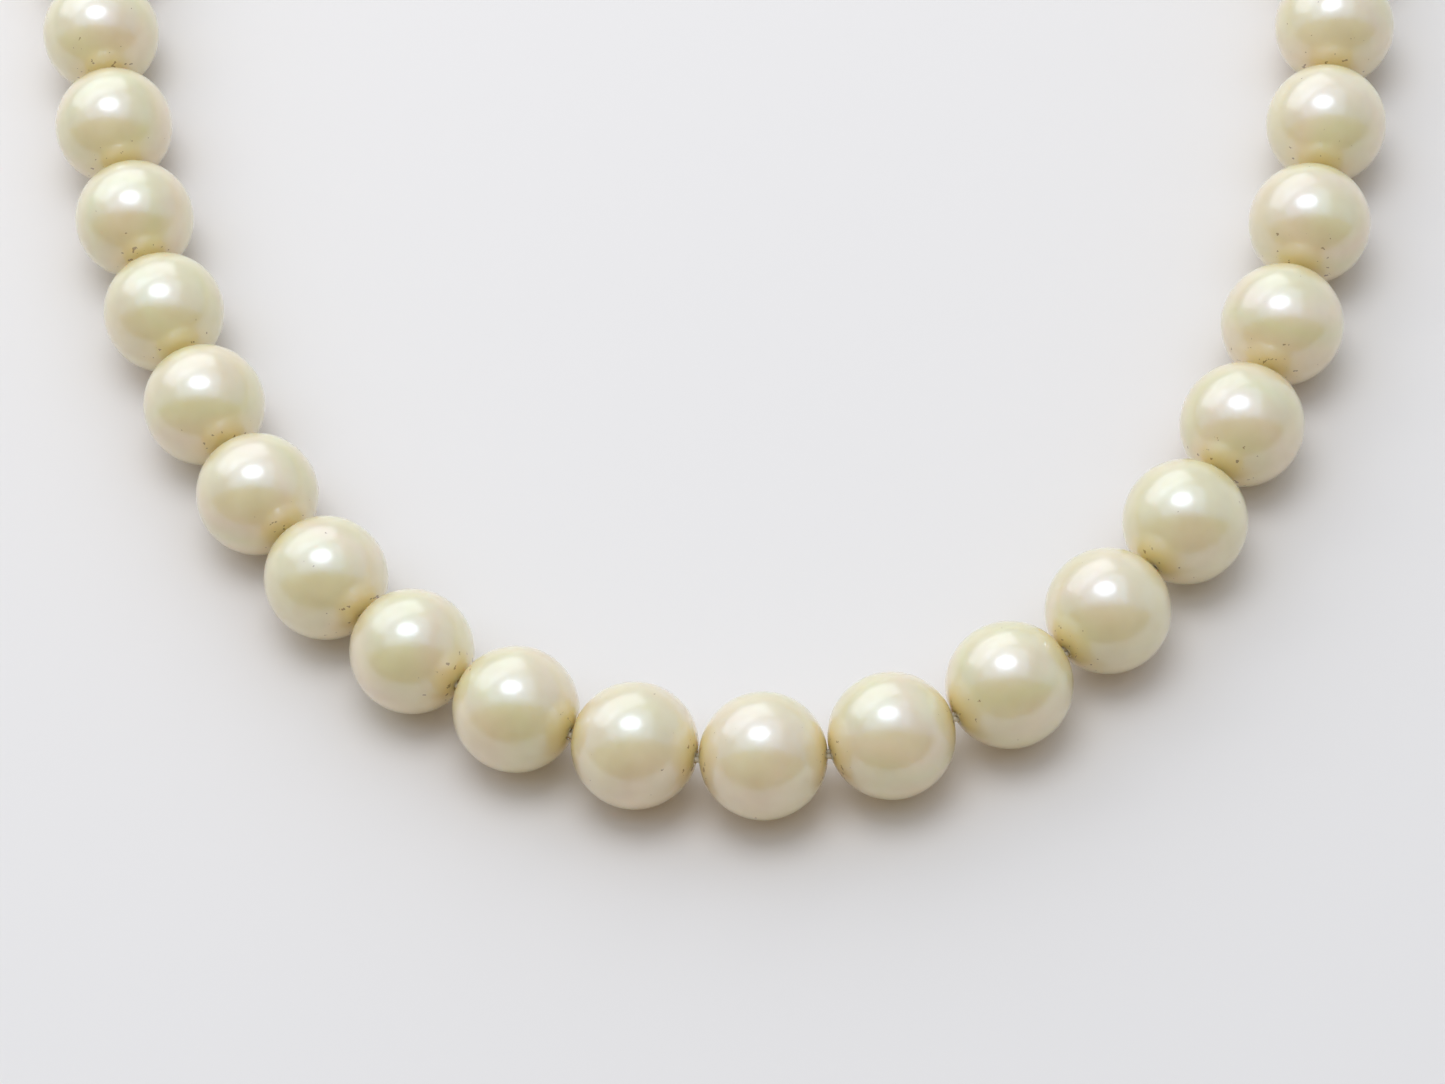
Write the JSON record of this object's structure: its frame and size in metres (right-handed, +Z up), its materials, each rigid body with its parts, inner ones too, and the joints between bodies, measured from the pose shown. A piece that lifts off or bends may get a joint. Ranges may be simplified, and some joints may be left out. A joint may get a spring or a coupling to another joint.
{
  "type": "pearl necklace",
  "caption": "Single strand of round drilled pearls on silk thread, laid open on a flat surface, with a fish-hook clasp. Every gap between two pearls bends sideways.",
  "frame": {"origin": "centre of the bounding box, on the surface that the necklace lies on", "axes": "+Z up; -Y is the front of the strand, where it bends most; +Y is towards the open clasp"},
  "size_m": [0.0962, 0.199, 0.008],
  "materials": {
    "pearl": "polished",
    "gimp_wire": "satin",
    "polished_gold": "polished",
    "spring_gold": "satin"
  },
  "bodies": {
    "centre": {"pearl_centre": "pearl"},
    "left_01": {"pearl_left_01": "pearl"},
    "left_02": {"pearl_left_02": "pearl"},
    "left_03": {"pearl_left_03": "pearl"},
    "left_04": {"pearl_left_04": "pearl"},
    "left_05": {"pearl_left_05": "pearl"},
    "left_06": {"pearl_left_06": "pearl"},
    "left_07": {"pearl_left_07": "pearl"},
    "left_08": {"pearl_left_08": "pearl"},
    "left_09": {"pearl_left_09": "pearl"},
    "left_10": {"pearl_left_10": "pearl"},
    "left_11": {"pearl_left_11": "pearl"},
    "left_12": {"pearl_left_12": "pearl"},
    "left_13": {"pearl_left_13": "pearl"},
    "left_14": {"pearl_left_14": "pearl"},
    "left_15": {"pearl_left_15": "pearl"},
    "left_16": {"pearl_left_16": "pearl"},
    "left_17": {"pearl_left_17": "pearl"},
    "left_18": {"pearl_left_18": "pearl"},
    "left_19": {"pearl_left_19": "pearl"},
    "left_20": {"pearl_left_20": "pearl"},
    "left_21": {"pearl_left_21": "pearl"},
    "left_22": {"pearl_left_22": "pearl"},
    "left_23": {"pearl_left_23": "pearl"},
    "left_24": {"pearl_left_24": "pearl", "gimp_left": "gimp_wire"},
    "right_01": {"pearl_right_01": "pearl"},
    "right_02": {"pearl_right_02": "pearl"},
    "right_03": {"pearl_right_03": "pearl"},
    "right_04": {"pearl_right_04": "pearl"},
    "right_05": {"pearl_right_05": "pearl"},
    "right_06": {"pearl_right_06": "pearl"},
    "right_07": {"pearl_right_07": "pearl"},
    "right_08": {"pearl_right_08": "pearl"},
    "right_09": {"pearl_right_09": "pearl"},
    "right_10": {"pearl_right_10": "pearl"},
    "right_11": {"pearl_right_11": "pearl"},
    "right_12": {"pearl_right_12": "pearl"},
    "right_13": {"pearl_right_13": "pearl"},
    "right_14": {"pearl_right_14": "pearl"},
    "right_15": {"pearl_right_15": "pearl"},
    "right_16": {"pearl_right_16": "pearl"},
    "right_17": {"pearl_right_17": "pearl"},
    "right_18": {"pearl_right_18": "pearl"},
    "right_19": {"pearl_right_19": "pearl"},
    "right_20": {"pearl_right_20": "pearl"},
    "right_21": {"pearl_right_21": "pearl"},
    "right_22": {"pearl_right_22": "pearl"},
    "right_23": {"pearl_right_23": "pearl"},
    "right_24": {"pearl_right_24": "pearl", "gimp_right": "gimp_wire"},
    "catch_half": {"shell_ring": "polished_gold", "shell_top": "polished_gold", "shell_bottom": "polished_gold", "catch_bar": "polished_gold"},
    "hook_half": {"hook_ring": "polished_gold", "hook_cap": "polished_gold", "hook_tongue": "spring_gold"},
    "leaf": {"spring_leaf": "spring_gold"}
  },
  "joints": [
    {"name": "bend_left_01", "type": "hinge", "parent": "centre", "child": "left_01", "pos_m": [0.00134, -0.09539, 0.004], "axis": [0, 0, -1], "range_deg": [-33.8, 6.1]},
    {"name": "bend_left_02", "type": "hinge", "parent": "left_01", "child": "left_02", "pos_m": [-0.00658, -0.09343, 0.004], "axis": [0, 0, -1], "range_deg": [-33.1, 6.8]},
    {"name": "bend_left_03", "type": "hinge", "parent": "left_02", "child": "left_03", "pos_m": [-0.01385, -0.08973, 0.004], "axis": [0, 0, -1], "range_deg": [-31.7, 8.2]},
    {"name": "bend_left_04", "type": "hinge", "parent": "left_03", "child": "left_04", "pos_m": [-0.02021, -0.08462, 0.004], "axis": [0, 0, -1], "range_deg": [-29.9, 10]},
    {"name": "bend_left_05", "type": "hinge", "parent": "left_04", "child": "left_05", "pos_m": [-0.02559, -0.07849, 0.004], "axis": [0, 0, 1], "range_deg": [-11.7, 28.2]},
    {"name": "bend_left_06", "type": "hinge", "parent": "left_05", "child": "left_06", "pos_m": [-0.03004, -0.07165, 0.004], "axis": [0, 0, 1], "range_deg": [-13.4, 26.5]},
    {"name": "bend_left_07", "type": "hinge", "parent": "left_06", "child": "left_07", "pos_m": [-0.03368, -0.06434, 0.004], "axis": [0, 0, 1], "range_deg": [-14.6, 25.3]},
    {"name": "bend_left_08", "type": "hinge", "parent": "left_07", "child": "left_08", "pos_m": [-0.03662, -0.05673, 0.004], "axis": [0, 0, 1], "range_deg": [-15.6, 24.3]},
    {"name": "bend_left_09", "type": "hinge", "parent": "left_08", "child": "left_09", "pos_m": [-0.03898, -0.04892, 0.004], "axis": [0, 0, -1], "range_deg": [-23.7, 16.2]},
    {"name": "bend_left_10", "type": "hinge", "parent": "left_09", "child": "left_10", "pos_m": [-0.04082, -0.04097, 0.004], "axis": [0, 0, -1], "range_deg": [-23.3, 16.6]},
    {"name": "bend_left_11", "type": "hinge", "parent": "left_10", "child": "left_11", "pos_m": [-0.04218, -0.03292, 0.004], "axis": [0, 0, -1], "range_deg": [-22.8, 17.1]},
    {"name": "bend_left_12", "type": "hinge", "parent": "left_11", "child": "left_12", "pos_m": [-0.04314, -0.02482, 0.004], "axis": [0, 0, -1], "range_deg": [-22.4, 17.5]},
    {"name": "bend_left_13", "type": "hinge", "parent": "left_12", "child": "left_13", "pos_m": [-0.04375, -0.01668, 0.004], "axis": [0, 0, 1], "range_deg": [-17.8, 22.1]},
    {"name": "bend_left_14", "type": "hinge", "parent": "left_13", "child": "left_14", "pos_m": [-0.04405, -0.00853, 0.004], "axis": [0, 0, 1], "range_deg": [-18.1, 21.8]},
    {"name": "bend_left_15", "type": "hinge", "parent": "left_14", "child": "left_15", "pos_m": [-0.0441, -0.00037, 0.004], "axis": [0, 0, 1], "range_deg": [-18.4, 21.5]},
    {"name": "bend_left_16", "type": "hinge", "parent": "left_15", "child": "left_16", "pos_m": [-0.04393, 0.00779, 0.004], "axis": [0, 0, 1], "range_deg": [-18.7, 21.2]},
    {"name": "bend_left_17", "type": "hinge", "parent": "left_16", "child": "left_17", "pos_m": [-0.04359, 0.01594, 0.004], "axis": [0, 0, -1], "range_deg": [-20.9, 19]},
    {"name": "bend_left_18", "type": "hinge", "parent": "left_17", "child": "left_18", "pos_m": [-0.04312, 0.02409, 0.004], "axis": [0, 0, -1], "range_deg": [-20.6, 19.3]},
    {"name": "bend_left_19", "type": "hinge", "parent": "left_18", "child": "left_19", "pos_m": [-0.04256, 0.03223, 0.004], "axis": [0, 0, -1], "range_deg": [-20.3, 19.6]},
    {"name": "bend_left_20", "type": "hinge", "parent": "left_19", "child": "left_20", "pos_m": [-0.04197, 0.04037, 0.004], "axis": [0, 0, -1], "range_deg": [-20, 19.9]},
    {"name": "bend_left_21", "type": "hinge", "parent": "left_20", "child": "left_21", "pos_m": [-0.04137, 0.04851, 0.004], "axis": [0, 0, 1], "range_deg": [-19.9, 20]},
    {"name": "bend_left_22", "type": "hinge", "parent": "left_21", "child": "left_22", "pos_m": [-0.04077, 0.05664, 0.004], "axis": [0, 0, 1], "range_deg": [-19.9, 20]},
    {"name": "bend_left_23", "type": "hinge", "parent": "left_22", "child": "left_23", "pos_m": [-0.04018, 0.06478, 0.004], "axis": [0, 0, 1], "range_deg": [-19.9, 20]},
    {"name": "bend_left_24", "type": "hinge", "parent": "left_23", "child": "left_24", "pos_m": [-0.03958, 0.07292, 0.004], "axis": [0, 0, 1], "range_deg": [-19.9, 20]},
    {"name": "bend_right_01", "type": "hinge", "parent": "centre", "child": "right_01", "pos_m": [0.0095, -0.09539, 0.004], "axis": [0, 0, 1], "range_deg": [-36.8, 3.1]},
    {"name": "bend_right_02", "type": "hinge", "parent": "right_01", "child": "right_02", "pos_m": [0.01731, -0.09303, 0.004], "axis": [0, 0, 1], "range_deg": [-35.6, 4.3]},
    {"name": "bend_right_03", "type": "hinge", "parent": "right_02", "child": "right_03", "pos_m": [0.0242, -0.08865, 0.004], "axis": [0, 0, 1], "range_deg": [-33.5, 6.4]},
    {"name": "bend_right_04", "type": "hinge", "parent": "right_03", "child": "right_04", "pos_m": [0.02986, -0.08277, 0.004], "axis": [0, 0, 1], "range_deg": [-31, 8.9]},
    {"name": "bend_right_05", "type": "hinge", "parent": "right_04", "child": "right_05", "pos_m": [0.0343, -0.07593, 0.004], "axis": [0, 0, -1], "range_deg": [-11.4, 28.5]},
    {"name": "bend_right_06", "type": "hinge", "parent": "right_05", "child": "right_06", "pos_m": [0.03766, -0.06849, 0.004], "axis": [0, 0, -1], "range_deg": [-13.4, 26.5]},
    {"name": "bend_right_07", "type": "hinge", "parent": "right_06", "child": "right_07", "pos_m": [0.04015, -0.06072, 0.004], "axis": [0, 0, -1], "range_deg": [-14.9, 25]},
    {"name": "bend_right_08", "type": "hinge", "parent": "right_07", "child": "right_08", "pos_m": [0.04194, -0.05276, 0.004], "axis": [0, 0, -1], "range_deg": [-15.9, 24]},
    {"name": "bend_right_09", "type": "hinge", "parent": "right_08", "child": "right_09", "pos_m": [0.04316, -0.04469, 0.004], "axis": [0, 0, 1], "range_deg": [-23.5, 16.4]},
    {"name": "bend_right_10", "type": "hinge", "parent": "right_09", "child": "right_10", "pos_m": [0.04388, -0.03656, 0.004], "axis": [0, 0, 1], "range_deg": [-23.2, 16.7]},
    {"name": "bend_right_11", "type": "hinge", "parent": "right_10", "child": "right_11", "pos_m": [0.04414, -0.02841, 0.004], "axis": [0, 0, 1], "range_deg": [-22.7, 17.2]},
    {"name": "bend_right_12", "type": "hinge", "parent": "right_11", "child": "right_12", "pos_m": [0.04401, -0.02025, 0.004], "axis": [0, 0, 1], "range_deg": [-22.4, 17.5]},
    {"name": "bend_right_13", "type": "hinge", "parent": "right_12", "child": "right_13", "pos_m": [0.04352, -0.0121, 0.004], "axis": [0, 0, -1], "range_deg": [-17.8, 22.1]},
    {"name": "bend_right_14", "type": "hinge", "parent": "right_13", "child": "right_14", "pos_m": [0.04274, -0.00398, 0.004], "axis": [0, 0, -1], "range_deg": [-18.1, 21.8]},
    {"name": "bend_right_15", "type": "hinge", "parent": "right_14", "child": "right_15", "pos_m": [0.0417, 0.00411, 0.004], "axis": [0, 0, -1], "range_deg": [-18.4, 21.5]},
    {"name": "bend_right_16", "type": "hinge", "parent": "right_15", "child": "right_16", "pos_m": [0.04045, 0.01218, 0.004], "axis": [0, 0, -1], "range_deg": [-18.7, 21.2]},
    {"name": "bend_right_17", "type": "hinge", "parent": "right_16", "child": "right_17", "pos_m": [0.03903, 0.02021, 0.004], "axis": [0, 0, 1], "range_deg": [-20.9, 19]},
    {"name": "bend_right_18", "type": "hinge", "parent": "right_17", "child": "right_18", "pos_m": [0.03749, 0.02823, 0.004], "axis": [0, 0, 1], "range_deg": [-20.6, 19.3]},
    {"name": "bend_right_19", "type": "hinge", "parent": "right_18", "child": "right_19", "pos_m": [0.03586, 0.03622, 0.004], "axis": [0, 0, 1], "range_deg": [-20.3, 19.6]},
    {"name": "bend_right_20", "type": "hinge", "parent": "right_19", "child": "right_20", "pos_m": [0.03419, 0.04421, 0.004], "axis": [0, 0, 1], "range_deg": [-20, 19.9]},
    {"name": "bend_right_21", "type": "hinge", "parent": "right_20", "child": "right_21", "pos_m": [0.03252, 0.0522, 0.004], "axis": [0, 0, -1], "range_deg": [-19.9, 20]},
    {"name": "bend_right_22", "type": "hinge", "parent": "right_21", "child": "right_22", "pos_m": [0.03085, 0.06018, 0.004], "axis": [0, 0, -1], "range_deg": [-19.9, 20]},
    {"name": "bend_right_23", "type": "hinge", "parent": "right_22", "child": "right_23", "pos_m": [0.02917, 0.06817, 0.004], "axis": [0, 0, -1], "range_deg": [-19.9, 20]},
    {"name": "bend_right_24", "type": "hinge", "parent": "right_23", "child": "right_24", "pos_m": [0.0275, 0.07616, 0.004], "axis": [0, 0, -1], "range_deg": [-19.9, 20]},
    {"name": "swivel_catch_half", "type": "hinge", "parent": "left_24", "child": "catch_half", "pos_m": [-0.03866, 0.08543, 0.0026], "axis": [0, 0, 1], "range_deg": [-60, 60]},
    {"name": "swivel_hook_half", "type": "hinge", "parent": "right_24", "child": "hook_half", "pos_m": [0.02494, 0.08843, 0.0018], "axis": [0, 0, 1], "range_deg": [-60, 60]},
    {"name": "press_leaf", "type": "hinge", "parent": "hook_half", "child": "leaf", "pos_m": [0.02282, 0.09856, 0.0018], "axis": [0.9788, 0.2047, 0], "range_deg": [0, 9], "stiffness_Nm_per_rad": 0.02}
  ]
}
